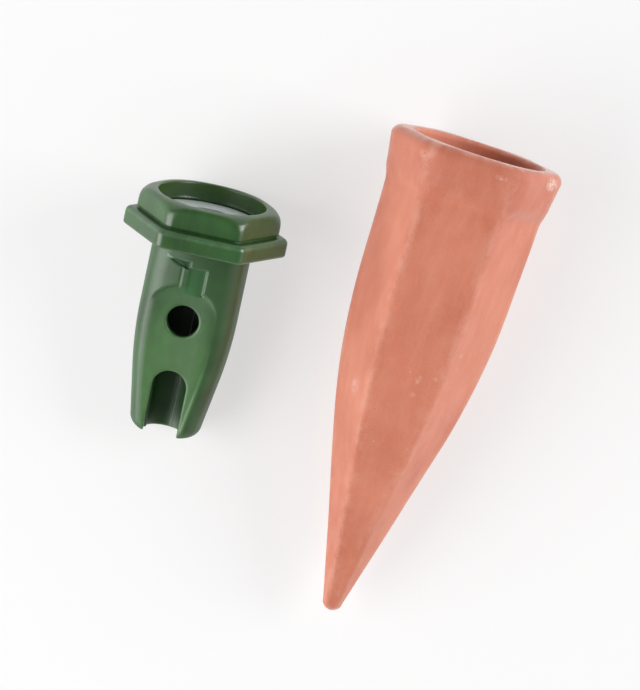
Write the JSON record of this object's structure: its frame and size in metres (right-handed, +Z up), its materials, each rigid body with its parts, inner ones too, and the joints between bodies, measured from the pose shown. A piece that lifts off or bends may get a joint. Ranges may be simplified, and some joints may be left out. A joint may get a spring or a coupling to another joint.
{
  "type": "self watering spike",
  "caption": "Hollow six-sided terracotta spike with a thick rim, lying beside its stepped green bottle adapter with a ported tube and a rubber washer.",
  "frame": {"origin": "on the table, under the middle of the box round both pieces as they lie", "axes": "+X to the right and +Y towards the mouths as seen in the picture, +Z up from the table"},
  "size_m": [0.1369, 0.1531, 0.0516],
  "materials": {
    "terracotta": "matt fired clay with fine pale specks",
    "green_plastic": "smooth dark green moulded plastic with a soft gloss",
    "washer_rubber": "smooth pale grey rubber"
  },
  "bodies": {
    "spike": {"terracotta_spike": "terracotta"},
    "adapter": {"bottle_adapter": "green_plastic"},
    "washer": {"seal_washer": "washer_rubber"}
  },
  "joints": [
    {"name": "adapter_lift", "type": "slide", "parent": "spike", "child": "adapter", "axis": [0, 0, 1], "range_m": [0, 0.08]},
    {"name": "washer_pull", "type": "slide", "parent": "adapter", "child": "washer", "axis": [0.2096, 0.9532, 0.2178], "range_m": [0, 0.03]}
  ]
}
